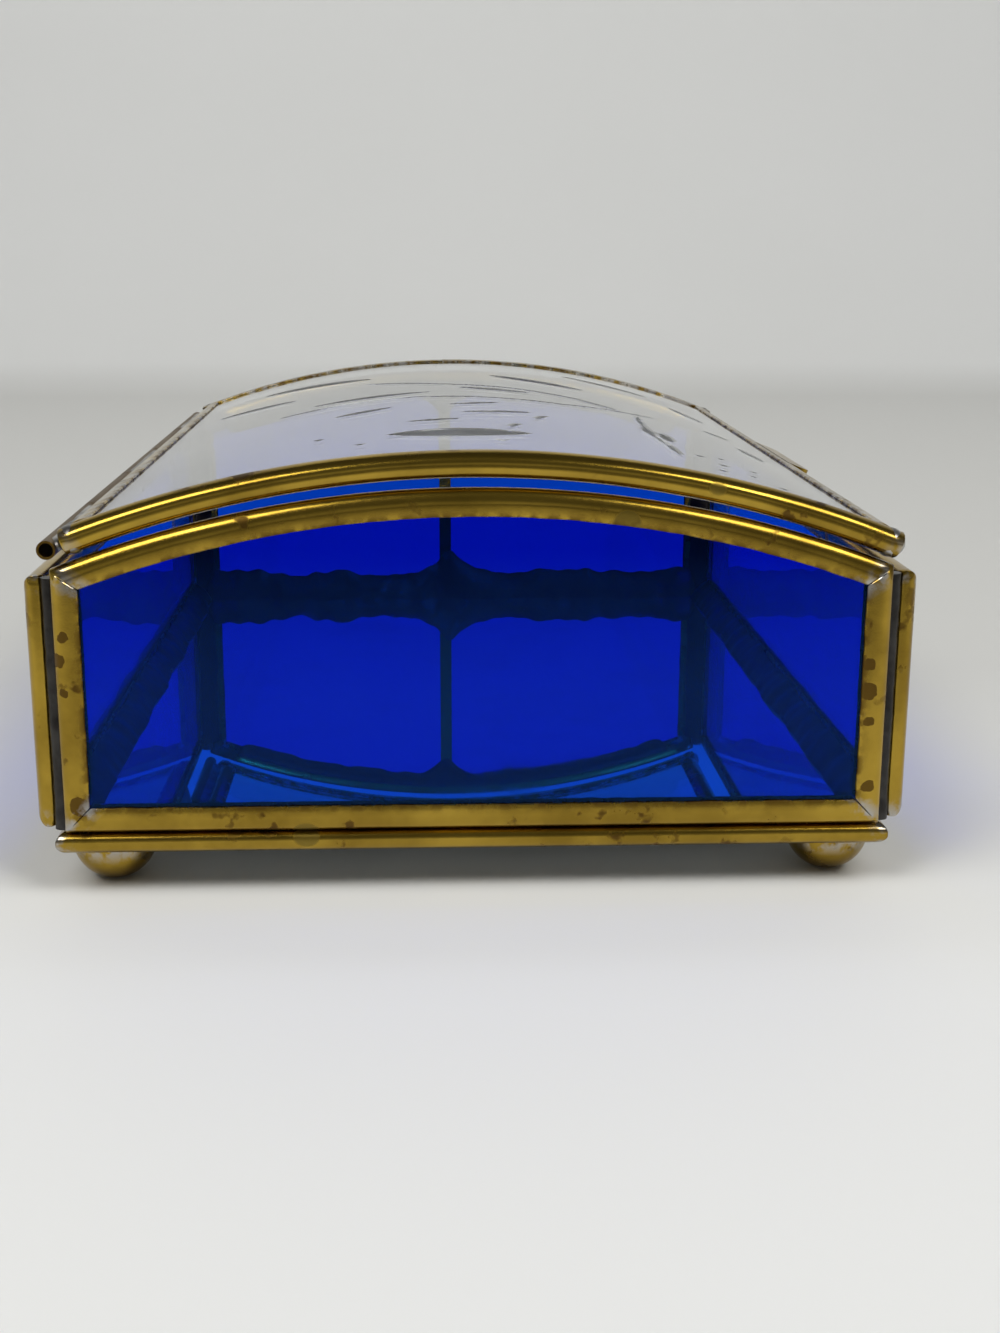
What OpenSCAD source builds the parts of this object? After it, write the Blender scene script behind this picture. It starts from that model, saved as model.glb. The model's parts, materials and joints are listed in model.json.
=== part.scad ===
// Glass casket box: blue glass walls edged in brass channel, a mirror floor on four domed
// feet, and a curved clear lid, edged in the same channel, that turns on a tube hinge.
// It stands on z = 0 and the origin is under its middle. +X is the side that opens,
// -X is the hinge side and -Y is the front end.

/* [Body] */
// Width over the outer faces of the side panels
body_w = 114; // [104:1:126]
// Length over the outer faces of the end panels
body_l = 152; // [130:1:180]
// Height of the side panels
side_h = 33.25; // [28:0.25:42]
// Rise of an end panel's arch, from its ends to its crown
arch_rise = 10; // [8.6:0.2:12]
// How far the ends of the arch stand above the side panels
arch_lift = 1.25; // [0.9:0.05:1.6]
// Gap between an end panel's edge and the inner face of a side panel
corner_gap = 0.75; // [0.5:0.05:1]

/* [Glass and channel] */
// Thickness of every flat pane and of the mirror
glass_t = 2.3; // [2.1:0.05:2.6]
// Thickness of the lid's curved pane
lid_glass_t = 2.6; // [2.3:0.05:2.8]
// Wall of the brass channel
channel_wall = 0.45; // [0.35:0.05:0.55]
// Height of the channel, from its back to its mouth
channel_h = 3.6; // [3.2:0.1:4.4]
// Depth of the rounded part of the channel's back
back_round = 2.1; // [1.7:0.1:2.4]
// Width of the flat along the middle of the channel's back
back_flat = 0.3; // [0.1:0.05:0.6]
// Clearance between a pane and each wall of its channel
glass_play = 0.05; // [0.02:0.01:0.1]
// Clearance between the edge of a pane and the bottom of its channel
seat_gap = 0.3; // [0.1:0.05:0.6]
// Clearance in a mitre or butt joint between two channels
joint_gap = 0.04; // [0.02:0.01:0.1]

/* [Base and feet] */
// How far the base frame stands in from the side panels' outer faces
base_side_in = 2.7; // [1.8:0.1:3.2]
// How far the base frame stands in from the end panels' outer faces
base_end_in = 1; // [0.4:0.1:2]
// Radius of the dome of a foot
foot_r = 5.6; // [4.6:0.1:6.5]
// Radius of the flat that a foot stands on
foot_flat_r = 1.05; // [0.8:0.05:1.6]
// From a side panel's outer face in to the middle of a foot
foot_side_in = 9; // [8:0.5:14]
// From an end panel's outer face in to the middle of a foot
foot_end_in = 9.1; // [8:0.1:16]
// Radius of the solder pad between a foot and the mirror
pad_r = 4.6; // [3.6:0.1:5]

/* [Back end] */
// Place of the upright bar that joins the two back panes
mullion_x = -1.6; // [-8:0.1:8]
// Width of the upright bar
mullion_w = 2.4; // [1.8:0.1:3.4]
// Web of the upright bar, between the two panes
mullion_web = 0.5; // [0.4:0.05:0.8]

/* [Lid] */
// Clearance between the lid's crown and the arches of the end panels, before the lid leans
lid_gap = 1.45; // [1.4:0.05:2.2]
// How much more the lid bows down to its edges than the arches do
lid_bow = 0.5; // [0:0.05:0.6]
// How far the closed lid leans down towards the side that opens, in degrees
lid_lean = 0.5; // [0:0.1:0.6]
// From the hinge side's outer face in to the lid's edge
lid_hinge_in = 5.95; // [5.8:0.05:6.6]
// From the opening side's outer face in to the lid's edge
lid_open_in = 3.55; // [3.4:0.05:5]
// Length of the lift tab along the lid's edge
tab_l = 27; // [16:1:40]
// How far the lift tab stands out past the lid's edge
tab_out = 1.7; // [1:0.1:2]
// Thickness of the lift tab
tab_t = 0.6; // [0.4:0.05:0.8]
// Corner radius of the lift tab
tab_round = 1.2; // [0.6:0.1:1.6]

/* [Hinge] */
// Outer diameter of the hinge tube
tube_d = 2.38; // [2.2:0.02:2.6]
// Wall of the hinge tube
tube_wall = 0.31; // [0.25:0.01:0.36]
// Radial clearance of the hinge pin in the tube
pin_play = 0.08; // [0.05:0.01:0.1]
// How far the ends of the pin stand in from the ends of the tube
pin_in = 6; // [1:0.5:8]
// Length at the pin's back end that is swaged to fill its tube
pin_swage = 4; // [2:0.5:8]
// Solder gap between the lid's edge and the hinge tube
hinge_gap = 0.95; // [0.85:0.05:1.1]
// Gap between two lengths of hinge tube
knuckle_gap = 0.3; // [0.2:0.05:0.6]
// How far the hinge tube stands in from the ends of the box
tube_end_in = 0.5; // [0.2:0.1:2]

/* [Solder] */
// Height of the solder bead along the foot of the back panes
back_bead_h = 6; // [4:0.25:7]
// Height of the solder beads along the other walls
bead_h = 3.4; // [2.4:0.1:4.5]
// Reach of the floor beads over the mirror
bead_reach = 3.2; // [2:0.1:4]
// Reach of the beads that stand in the inner corners
corner_reach = 3; // [2:0.1:4]
// How much a bead swells and thins along its length, as a share of its size
bead_wave = 0.22; // [0:0.02:0.3]
// Distance from one swelling of a bead to the next
bead_pitch = 27; // [18:1:40]
// How far the bead on the back arch hangs below its channel
arch_bead_hang = 1.6; // [0.8:0.1:2.4]
// Thickness of the bead on the back arch
arch_bead_t = 0.9; // [0.5:0.1:1.4]
// Half width of the lumps of solder at the ends of the upright bar
lump_w = 3.5; // [2:0.5:6]
// Radius of the solder seam in an outer corner of the walls
seam_r = 1.25; // [1.15:0.05:1.4]
// Radius of the solder cap on a corner of the lid
cap_r = 1.9; // [1.75:0.05:2]
// How far a corner cap bulges past the lid's edge
cap_out = 0.7; // [0.4:0.05:0.8]

/* [Hidden] */

$fn = 48;
// Sides of a full turn of the arches, which are large
arc_fn = 240;
// Steps in each half of the channel's rounded back and in a rounded corner
round_steps = 6;
// Length of one step of a solder bead
bead_step = 2.6;
// The quick ripple on a bead: its share of the swelling, and its waves in one pitch
ripple = 0.4;
ripple_waves = 2.3;
// How far the swelling of a bead's second leg runs ahead of the first leg's, in degrees
leg_lead = 70;
// How much the back floor bead rises round the upright bar, as a share of its height
mullion_lift = 0.7;
// Gap between the ends of two neighbouring lumps of solder
solder_gap = 0.1;
// How far up the sides of the hinge tube solder climbs, as a share of its radius
tube_hug = 0.9;
// Overshoot of a cutting shape past what it cuts
over = 1;

brass = "darkgoldenrod";
solder = "darkgray";
blue_glass = [0.05, 0.1, 0.6, 0.6];
clear_glass = [0.75, 0.8, 0.85, 0.4];
mirror_silver = "lightsteelblue";

// Slot and channel for a pane, and how far in from the channel's back the pane's edge stands,
// clear of where its faces would meet the rounded bottom of the slot
function slot_for(pane_t) = pane_t + 2 * glass_play;
function channel_for(pane_t) = slot_for(pane_t) + 2 * channel_wall;
function edge_for(pane_t) = seat_gap + back_round - (back_round - channel_wall)
  * sqrt(1 - pow((pane_t - back_flat) / (slot_for(pane_t) - back_flat), 2));

// Channel of the walls and the base
slot_w = slot_for(glass_t);
channel_t = channel_for(glass_t);
pane_in = edge_for(glass_t);

// Heights
foot_h = sqrt(foot_r * foot_r - foot_flat_r * foot_flat_r);
wall_z = foot_h + channel_t;
side_top = wall_z + side_h;
arch_end_z = side_top + arch_lift;

// Half sizes of the base frame and the wall panels
base_half_w = body_w / 2 - base_side_in;
base_half_l = body_l / 2 - base_end_in;
side_in_x = body_w / 2 - channel_t;
side_mid_x = body_w / 2 - channel_t / 2;
end_in_y = body_l / 2 - channel_t;
end_mid_y = body_l / 2 - channel_t / 2;
end_half_w = side_in_x - corner_gap;

// Arch of the end panels: outer radius, inner radius and centre height
arch_r = (end_half_w * end_half_w + arch_rise * arch_rise) / (2 * arch_rise);
arch_in_r = arch_r - channel_h;
arch_z = arch_end_z + arch_rise - arch_r;
// Inner top corner of an end panel's opening, where post and arch meet in a mitre
opening_half_w = end_half_w - channel_h;
opening_corner_z = arch_z + sqrt(arch_in_r * arch_in_r - opening_half_w * opening_half_w);
mitre_angle = atan2(arch_end_z - opening_corner_z, channel_h);

// Lid, before it is moved sideways and leant: even_r is its radius if it ran even with the
// arches, and lid_sag is its rise from its edges to its crown
lid_t = channel_for(lid_glass_t);
lid_half_w = (body_w - lid_hinge_in - lid_open_in) / 2;
lid_x = (lid_hinge_in - lid_open_in) / 2;
even_r = arch_r + lid_gap + lid_t / 2;
lid_sag = even_r - sqrt(even_r * even_r - lid_half_w * lid_half_w) + lid_bow;
lid_mid_r = (lid_half_w * lid_half_w + lid_sag * lid_sag) / (2 * lid_sag);
lid_z = arch_z + even_r - lid_mid_r;
lid_angle = asin(lid_half_w / lid_mid_r);
lid_rail_l = body_l - 2 * (channel_h + joint_gap);
lid_pane_in = edge_for(lid_glass_t);
pane_angle = lid_angle - asin(lid_pane_in / lid_mid_r);
// The straight edge channels sit a little low, so that the curved pane runs down their middle
lid_edge_r = lid_mid_r - channel_h * channel_h / (4 * lid_mid_r);

// Hinge axis, in the middle of the lid's thickness and outside its edge
tube_r = tube_d / 2;
bore_r = tube_r - tube_wall;
pin_r = bore_r - pin_play;
hinge_out = hinge_gap + tube_r;
hinge_x = lid_x - lid_edge_r * sin(lid_angle) - hinge_out * cos(lid_angle);
hinge_z = lid_z + lid_edge_r * cos(lid_angle) - hinge_out * sin(lid_angle);
hinge_l = body_l - 2 * tube_end_in;
knuckles = 5;
knuckle_pitch = hinge_l / knuckles;
// How far the solder on a knuckle stops short of its ends, clear of a corner cap
knuckle_solder_in = 2 * cap_r + solder_gap;

// Floor beads stop where the beads in the inner corners begin
bead_stop = corner_reach * (1 + bead_wave) + solder_gap;

function arc_points(centre, r, from, to, steps) =
  [for (i = [0:steps]) let (a = from + (to - from) * i / steps) centre + r * [cos(a), sin(a)]];

// Outline in x and y of a half-round back that begins at x = start, is flat along its middle
// and runs on, half to each side, to x = mouth
function rounded_outline(start, half, mouth) =
  let (
    flat = back_flat / 2,
    curve = [
      for (i = [0:round_steps]) let (a = 90 * i / round_steps)
        [back_round - (back_round - start) * sin(a), flat + (half - flat) * cos(a)]
    ]
  ) concat(
    curve, [for (i = [round_steps:-1:0]) [curve[i][0], -curve[i][1]]],
    [[mouth, -half], [mouth, half]]
  );

// Outline of the channel for a pane: rounded back at x = 0, mouth at x = channel_h
function channel_outline(pane_t) = rounded_outline(0, channel_for(pane_t) / 2, channel_h);

module channel_section(pane_t) {
  difference() {
    polygon(channel_outline(pane_t));
    polygon(rounded_outline(channel_wall, slot_for(pane_t) / 2, channel_h + over));
  }
}

// Extrudes an outline along +X, with its x along +Y and its y along +Z
module along_x(length) {
  rotate([90, 0, 90]) linear_extrude(length) children();
}

// A straight length of channel along +X, back on y = 0 and mouth towards +Y
module channel_bar(length, mitred_start = true, mitred_end = true, pane_t = glass_t) {
  from = mitred_start ? joint_gap : -channel_h;
  to = mitred_end ? length - joint_gap : length + channel_h;
  start_lean = mitred_start ? 1 : 0;
  end_lean = mitred_end ? 1 : 0;
  top = channel_h + over;
  intersection() {
    along_x(length) channel_section(pane_t);
    linear_extrude(2 * channel_for(pane_t), center = true)
      polygon([
        [from - over * start_lean, -over], [to + over * end_lean, -over],
        [to - top * end_lean, top], [from + top * start_lean, top]
      ]);
  }
}

// The four edges of a w by h frame in the XY plane, with the corner of the frame at the origin
module lower_bar(w) {
  channel_bar(w);
}
module upper_bar(w, h) {
  translate([w, h, 0]) rotate([0, 0, 180]) channel_bar(w);
}
module left_bar(h, mitred_top = true) {
  translate([0, h, 0]) rotate([0, 0, -90]) channel_bar(h, mitred_top, true);
}
module right_bar(w, h, mitred_top = true) {
  translate([w, 0, 0]) rotate([0, 0, 90]) channel_bar(h, true, mitred_top);
}
module frame_pane(w, h) {
  translate([pane_in, pane_in, -glass_t / 2]) cube([w - 2 * pane_in, h - 2 * pane_in, glass_t]);
}

// Places of the three kinds of frame
module base_frame() {
  translate([-base_half_w, -base_half_l, foot_h + channel_t / 2]) children();
}
module side_frame(side) {
  translate([side * side_mid_x, -end_in_y, wall_z]) rotate([90, 0, 90]) children();
}
module end_frame(end) {
  translate([-end_half_w, end * end_mid_y, wall_z]) rotate([90, 0, 0]) children();
}

module base_mirror() {
  color(mirror_silver) base_frame() frame_pane(2 * base_half_w, 2 * base_half_l);
}
module base_rail_front() {
  color(brass) base_frame() lower_bar(2 * base_half_w);
}
module base_rail_back() {
  color(brass) base_frame() upper_bar(2 * base_half_w, 2 * base_half_l);
}
module base_rail_left() {
  color(brass) base_frame() left_bar(2 * base_half_l);
}
module base_rail_right() {
  color(brass) base_frame() right_bar(2 * base_half_w, 2 * base_half_l);
}

// A domed foot under the corner that the two signs name
module foot(side, end) {
  color(brass)
    translate([side * (body_w / 2 - foot_side_in), end * (body_l / 2 - foot_end_in), 0])
      intersection() {
        translate([0, 0, foot_h]) sphere(foot_r);
        translate([-foot_r, -foot_r, 0]) cube([2 * foot_r, 2 * foot_r, foot_h]);
      }
}

// Thin solder pads between the feet and the underside of the mirror, inside the base frame
module foot_solder() {
  pad_h = channel_wall + glass_play;
  open_w = base_half_w - channel_h - joint_gap;
  open_l = base_half_l - channel_h - joint_gap;
  for (side = [-1, 1], end = [-1, 1])
    color(solder) intersection() {
      translate([side * (body_w / 2 - foot_side_in), end * (body_l / 2 - foot_end_in), foot_h])
        cylinder(h = pad_h, r = pad_r);
      translate([-open_w, -open_l, 0]) cube([2 * open_w, 2 * open_l, wall_z]);
    }
}

module left_glass() {
  color(blue_glass) side_frame(-1) frame_pane(2 * end_in_y, side_h);
}
module right_glass() {
  color(blue_glass) side_frame(1) frame_pane(2 * end_in_y, side_h);
}
module side_top_rail(side) {
  color(brass) side_frame(side) upper_bar(2 * end_in_y, side_h);
}
module side_bottom_rail(side) {
  color(brass) side_frame(side) lower_bar(2 * end_in_y);
}
module side_post_front(side) {
  color(brass) side_frame(side) left_bar(side_h);
}
module side_post_back(side) {
  color(brass) side_frame(side) right_bar(2 * end_in_y, side_h);
}

// Turns an outline in radius and depth into an arc about a centre at the given height.
// It spans the given angle to each side of the crown and its depth runs towards -Y.
module arc_sweep(half_angle, centre_z) {
  translate([0, 0, centre_z]) rotate([90, 0, 0]) rotate([0, 0, 90 - half_angle])
    rotate_extrude(angle = 2 * half_angle, $fn = arc_fn) children();
}

// Everything outside and below the mitre at the top corner of an end panel, on one side
module beyond_mitre(side, gap) {
  reach = body_w + side_h;
  mirror([side < 0 ? 1 : 0, 0, 0])
    translate([end_half_w, 0, arch_end_z]) rotate([0, -mitre_angle, 0])
      translate([-reach, -body_l, -gap - 2 * reach]) cube([2 * reach, 2 * body_l, 2 * reach]);
}

// Pane of an end panel, between two places across its width
module end_pane(end, from, to) {
  pane_z = wall_z + pane_in;
  color(blue_glass)
    translate([0, end * end_mid_y + glass_t / 2, 0]) rotate([90, 0, 0])
      linear_extrude(glass_t) intersection() {
        translate([0, arch_z]) circle(arch_r - pane_in, $fn = arc_fn);
        translate([from, pane_z]) square([to - from, arch_end_z + arch_rise - pane_z]);
      }
}
module end_sill(end) {
  color(brass) end_frame(end) lower_bar(2 * end_half_w);
}
module end_post(side, end) {
  h = arch_end_z - wall_z;
  color(brass) intersection() {
    end_frame(end) if (side < 0) left_bar(h, false); else right_bar(2 * end_half_w, h, false);
    beyond_mitre(side, joint_gap);
  }
}
module end_arch(end) {
  color(brass) difference() {
    intersection() {
      translate([0, end * end_mid_y, 0]) arc_sweep(asin(end_half_w / arch_in_r) + over, arch_z)
        translate([arch_r, 0]) rotate(180) channel_section(glass_t);
      translate([-end_half_w, -body_l, 0]) cube([2 * end_half_w, 2 * body_l, 2 * side_top]);
    }
    for (side = [-1, 1]) beyond_mitre(side, 0);
  }
}

module front_glass() {
  end_pane(-1, pane_in - end_half_w, end_half_w - pane_in);
}
module back_glass_left() {
  end_pane(1, pane_in - end_half_w, mullion_x - mullion_web / 2 - glass_play);
}
module back_glass_right() {
  end_pane(1, mullion_x + mullion_web / 2 + glass_play, end_half_w - pane_in);
}

// Upright bar of H section that holds the inner edges of the two back panes
module back_mullion() {
  foot_z = wall_z + channel_h + joint_gap;
  slot = (mullion_w - mullion_web) / 2;
  color(brass) intersection() {
    translate([mullion_x, end_mid_y, foot_z])
      linear_extrude(side_h + arch_rise) difference() {
        square([mullion_w, channel_t], center = true);
        for (side = [-1, 1])
          translate([side * (mullion_web + slot + over) / 2, 0])
            square([slot + over, slot_w], center = true);
      }
    translate([0, body_l, arch_z]) rotate([90, 0, 0])
      cylinder(h = body_l, r = arch_in_r - joint_gap, $fn = arc_fn);
  }
}

// How a solder bead swells along its length: u is the distance along it
function swell(u, phase) =
  let (turn = 360 * u / bead_pitch)
    1 + bead_wave * ((1 - ripple) * sin(turn + phase)
    + ripple * sin(ripple_waves * turn + 2 * phase));
// A single lump on a bead, at a distance d from the lump's middle
function lump(d, width) = exp(-(d / width) * (d / width));

// Closed skin round rings of four points each
module ring_skin(rings, flipped) {
  last = len(rings) - 1;
  walls = [
    for (i = [0:last - 1], j = [0:3])
      let (a = 4 * i + j, b = 4 * i + (j + 1) % 4)
        each [[a, b, b + 4], [a, b + 4, a + 4]]
  ];
  ends = [[2, 1, 0], [3, 2, 0], 4 * last * [1, 1, 1] + [0, 1, 2], 4 * last * [1, 1, 1] + [0, 2, 3]];
  faces = concat(walls, ends);
  polyhedron([for (ring = rings) each ring],
    flipped ? faces : [for (f = faces) [f[2], f[1], f[0]]], convexity = 4);
}

// A wavy bead in the angle of two walls: it runs along one vector from the angle's corner,
// and its two legs lie along the other two. lift makes leg b taller round one place.
module bead(corner, run, leg_a, leg_b, phase, lift_at = 0, lift = 0) {
  length = norm(run);
  steps = ceil(length / bead_step);
  // How far the face between the legs bellies out: 0.5 is flat, 1 is square
  belly = 0.6;
  rings = [
    for (i = [0:steps])
      let (
        u = length * i / steps,
        at = corner + run * i / steps,
        a = leg_a * swell(u, phase),
        b = leg_b * (swell(u, phase + leg_lead) + lift * lump(u - lift_at, lump_w))
      ) [at, at + a, at + belly * (a + b), at + b]
  ];
  ring_skin(rings, cross(run, leg_a) * leg_b < 0);
}

// Floor beads along the end panels and along the side panels
module floor_bead_end(end, height, phase, lift) {
  half = side_in_x - bead_stop;
  color(solder)
    bead([-half, end * end_in_y, wall_z], [2 * half, 0, 0], [0, -end * bead_reach, 0],
      [0, 0, height], phase, mullion_x + half, lift);
}
module floor_bead_side(side, phase) {
  half = end_in_y - bead_stop;
  color(solder)
    bead([side * side_in_x, -half, wall_z], [0, 2 * half, 0], [-side * bead_reach, 0, 0],
      [0, 0, bead_h], phase);
}

// Solder at an upright corner: a seam in the outer notch and a wavy bead inside
module corner_seam(side, end, phase) {
  color(solder) {
    translate([side * (side_in_x - corner_gap / 2), end * end_in_y, wall_z])
      cylinder(h = side_h, r = seam_r);
    bead([side * side_in_x, end * end_in_y, wall_z], [0, 0, side_h - back_round],
      [-side * corner_reach, 0, 0], [0, -end * corner_reach, 0], phase);
  }
}

// Wavy bead on the inner face of the back arch, which hangs below the channel
module back_arch_bead() {
  half = asin((opening_half_w - corner_reach) / arch_in_r);
  steps = ceil(2 * half * PI / 180 * arch_in_r / bead_step);
  phase = 40;
  // Where the bead starts on the channel and where its full thickness begins and ends
  root = channel_h - back_round;
  shoulder = 0.6 * root;
  belly = 0.6;
  // The drop round the upright bar, as a share of the hang
  lift = 2.2;
  rings = [
    for (i = [0:steps])
      let (
        a = half * (2 * i / steps - 1),
        u = a * PI / 180 * arch_in_r,
        out = [sin(a), 0, cos(a)],
        hang = arch_bead_hang * (swell(u, phase) + lift * lump(u - mullion_x, lump_w)),
        edge = [0, end_in_y, arch_z] + arch_in_r * out,
        inward = [0, -arch_bead_t * swell(u, phase), 0]
      ) [
        edge + root * out, edge + shoulder * out + inward,
        edge - belly * hang * out + inward, edge - hang * out
      ]
  ];
  color(solder) ring_skin(rings, true);
}

// Moves the lid sideways to clear the hinge and leans it about the hinge's axis
module lid_placed() {
  translate([hinge_x, 0, hinge_z]) rotate([0, lid_lean, 0])
    translate([lid_x - hinge_x, 0, -hinge_z]) children();
}
// Places a child on an edge of the lid: x points out of the edge, z out of the lid's face,
// and the origin is on the back of the lid's channel
module lid_edge(side) {
  lid_placed() mirror([side < 0 ? 1 : 0, 0, 0])
    translate([0, 0, lid_z]) rotate([0, lid_angle, 0]) translate([0, 0, lid_edge_r])
      children();
}
module lid_caps() {
  for (side = [-1, 1], end = [-1, 1])
    lid_edge(side) translate([cap_out - cap_r, end * (body_l / 2 - cap_r), 0]) sphere(cap_r);
}
module lid_glass() {
  half_l = body_l / 2 - lid_pane_in;
  color(clear_glass) difference() {
    lid_placed() arc_sweep(pane_angle, lid_z)
      translate([lid_mid_r - lid_glass_t / 2, -half_l]) square([lid_glass_t, 2 * half_l]);
    lid_caps();
  }
}
module lid_arch(end) {
  color(brass) difference() {
    lid_placed() translate([0, end * body_l / 2, 0]) mirror([0, end < 0 ? 1 : 0, 0])
      arc_sweep(lid_angle, lid_z) translate([lid_mid_r, 0]) rotate(90)
        channel_section(lid_glass_t);
    lid_caps();
  }
}
module lid_rail(side) {
  color(brass) difference() {
    lid_edge(side) translate([0, -lid_rail_l / 2, 0]) rotate([0, 0, 90])
      channel_bar(lid_rail_l, false, false, lid_glass_t);
    lid_caps();
  }
}
module lid_corner_solder() {
  color(solder) lid_caps();
}

// Extrudes an outline in x and z along Y, centred on y = middle
module along_y(length, middle = 0) {
  translate([0, middle + length / 2, 0]) rotate([90, 0, 0]) linear_extrude(length) children();
}
// Solid outline of the lid's edge channel in x and z, with its back on x = 0
module lid_edge_outline() {
  rotate(180) polygon(channel_outline(lid_glass_t));
}

// Flat brass strip, flush with the top of the lid's edge
module lift_tab() {
  root = back_round;
  half = tab_l / 2;
  outline = concat(
    [[-root, -half]],
    arc_points([tab_out - tab_round, tab_round - half], tab_round, -90, 0, round_steps),
    arc_points([tab_out - tab_round, half - tab_round], tab_round, 0, 90, round_steps),
    [[-root, half]]
  );
  color(brass) lid_edge(1) difference() {
    translate([0, 0, lid_t / 2 - tab_t]) linear_extrude(tab_t) polygon(outline);
    along_y(tab_l + over) lid_edge_outline();
  }
}
module tab_solder() {
  under = lid_t / 2 - tab_t;
  reach = 0.6 * tab_out;
  color(solder) lid_edge(1) difference() {
    along_y(tab_l - 2 * tab_round)
      polygon([[-channel_wall, under], [reach, under], [0, -under], [-channel_wall, -under]]);
    along_y(tab_l) lid_edge_outline();
  }
}

// Middle and length of a knuckle of the hinge tube, counted from the front
function knuckle_y(i) = (i + 0.5 - knuckles / 2) * knuckle_pitch;
knuckle_l = knuckle_pitch - knuckle_gap;
solder_l = knuckle_pitch - 2 * knuckle_solder_in;

module hinge_tube(i) {
  color(brass) translate([hinge_x, 0, hinge_z]) along_y(knuckle_l, knuckle_y(i))
    difference() {
      circle(tube_r);
      circle(bore_r);
    }
}
module hinge_pin() {
  pin_l = hinge_l - 2 * pin_in;
  color("dimgray") translate([hinge_x, 0, hinge_z]) {
    along_y(pin_l) circle(pin_r);
    along_y(pin_swage, (pin_l - pin_swage) / 2) circle(bore_r);
  }
}

// Solder between the lid's edge and the three tube lengths that move with it
module hinge_solder_lid() {
  half_root = lid_t / 2 - channel_wall;
  half_tip = tube_hug * tube_r;
  for (i = [0:2:knuckles - 1])
    color(solder) lid_edge(-1) difference() {
      along_y(solder_l, knuckle_y(i))
        polygon([
          [-back_round, half_root], [hinge_out, half_tip],
          [hinge_out, -half_tip], [-back_round, -half_root]
        ]);
      along_y(knuckle_pitch, knuckle_y(i)) lid_edge_outline();
      along_y(knuckle_pitch, knuckle_y(i)) translate([hinge_out, 0]) circle(tube_r);
    }
}
// Solder between the left top rail and the two tube lengths that stay with the body
module hinge_solder_body() {
  // Where the solder leaves the tube on the side towards the lid, as an angle
  leave = -54;
  for (i = [1:2:knuckles - 2])
    color(solder) difference() {
      along_y(solder_l, knuckle_y(i))
        polygon([
          [-side_mid_x - channel_wall, side_top - channel_wall],
          [hinge_x - tube_hug * tube_r, hinge_z],
          [hinge_x + tube_hug * tube_r * cos(leave), hinge_z + tube_hug * tube_r * sin(leave)],
          [-side_in_x, side_top - back_round]
        ]);
      along_y(knuckle_pitch, knuckle_y(i)) translate([hinge_x, hinge_z]) circle(tube_r);
      along_y(knuckle_pitch, knuckle_y(i)) translate([-side_mid_x, side_top]) rotate(-90)
        polygon(channel_outline(glass_t));
    }
}

base_mirror();
base_rail_front();
base_rail_back();
base_rail_left();
base_rail_right();
foot(-1, -1);  // foot_front_left
foot(1, -1);  // foot_front_right
foot(-1, 1);  // foot_back_left
foot(1, 1);  // foot_back_right
foot_solder();
front_glass();
end_sill(-1);  // front_sill
end_post(-1, -1);  // front_post_left
end_post(1, -1);  // front_post_right
end_arch(-1);  // front_arch
back_glass_left();
back_glass_right();
back_mullion();
end_sill(1);  // back_sill
end_post(-1, 1);  // back_post_left
end_post(1, 1);  // back_post_right
end_arch(1);  // back_arch
back_arch_bead();
left_glass();
side_top_rail(-1);  // left_top_rail
side_bottom_rail(-1);  // left_bottom_rail
side_post_front(-1);  // left_post_front
side_post_back(-1);  // left_post_back
right_glass();
side_top_rail(1);  // right_top_rail
side_bottom_rail(1);  // right_bottom_rail
side_post_front(1);  // right_post_front
side_post_back(1);  // right_post_back
corner_seam(-1, -1, 0);  // seam_front_left
corner_seam(1, -1, 80);  // seam_front_right
corner_seam(-1, 1, 160);  // seam_back_left
corner_seam(1, 1, 240);  // seam_back_right
floor_bead_end(-1, bead_h, 20, 0);  // floor_bead_front
floor_bead_end(1, back_bead_h, 110, mullion_lift);  // floor_bead_back
floor_bead_side(-1, 200);  // floor_bead_left
floor_bead_side(1, 290);  // floor_bead_right
lid_glass();
lid_arch(-1);  // lid_arch_front
lid_arch(1);  // lid_arch_back
lid_rail(-1);  // lid_rail_left
lid_rail(1);  // lid_rail_right
lid_corner_solder();
lift_tab();
tab_solder();
hinge_tube(0);  // hinge_tube_lid_front
hinge_tube(1);  // hinge_tube_body_front
hinge_tube(2);  // hinge_tube_lid_middle
hinge_tube(3);  // hinge_tube_body_back
hinge_tube(4);  // hinge_tube_lid_back
hinge_pin();
hinge_solder_lid();
hinge_solder_body();
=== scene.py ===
"""Looks of the glass casket box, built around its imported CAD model.

Lengths in the functions are in metres, and named sizes are given in millimetres times MM.
The brass channel, the solder, the feet, the hinge tube and the engraved lid pane are modelled
here. The flat panes, the mirror, the upright bar and the hinge pin keep their CAD shapes.
"""

import json
import math

import bmesh
import bpy
import numpy as np
from mathutils import Matrix, Vector, noise
from mathutils.geometry import tessellate_polygon


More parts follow.
